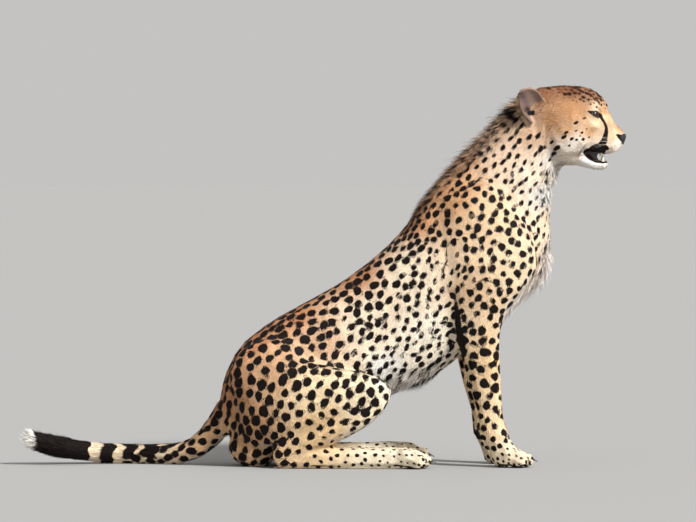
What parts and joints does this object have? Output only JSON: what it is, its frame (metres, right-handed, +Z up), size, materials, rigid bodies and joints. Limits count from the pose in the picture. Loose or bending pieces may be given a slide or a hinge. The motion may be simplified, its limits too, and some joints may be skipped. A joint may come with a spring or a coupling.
{
  "type": "cheetah",
  "caption": "Life-size cheetah that sits upright on its haunches with straight forelegs, head up, mouth slightly open and tail laid out behind.",
  "frame": {"origin": "centre of the base of the bounding box, on the floor that the paws, rump and tail rest on", "axes": "+X the way the animal faces, +Z up, its right side at -Y"},
  "size_m": [1.3504, 0.3006, 0.8545],
  "materials": {
    "coat": "short spotted fur, tawny above and white below",
    "nose": "moist black nose leather",
    "eye": "clear wet amber eye with a round black pupil",
    "tongue": "moist pink",
    "teeth": "ivory enamel over dark gum"
  },
  "bodies": {
    "root": {"belly": "coat", "chest": "coat", "ear_left": "coat", "ear_right": "coat", "eye_left": "eye", "eye_right": "eye", "forearm_left": "coat", "forearm_right": "coat", "forepaw_left": "coat", "forepaw_right": "coat", "head": "coat", "hind_foot_left": "coat", "hind_foot_right": "coat", "jaw": "coat", "neck": "coat", "nose": "nose", "rump": "coat", "shank_left": "coat", "shank_right": "coat", "tail_base": "coat", "tail_middle": "coat", "tail_tip": "coat", "teeth_lower": "teeth", "teeth_upper": "teeth", "thigh_left": "coat", "thigh_right": "coat", "tongue": "tongue", "upper_arm_left": "coat", "upper_arm_right": "coat"}
  },
  "joints": []
}
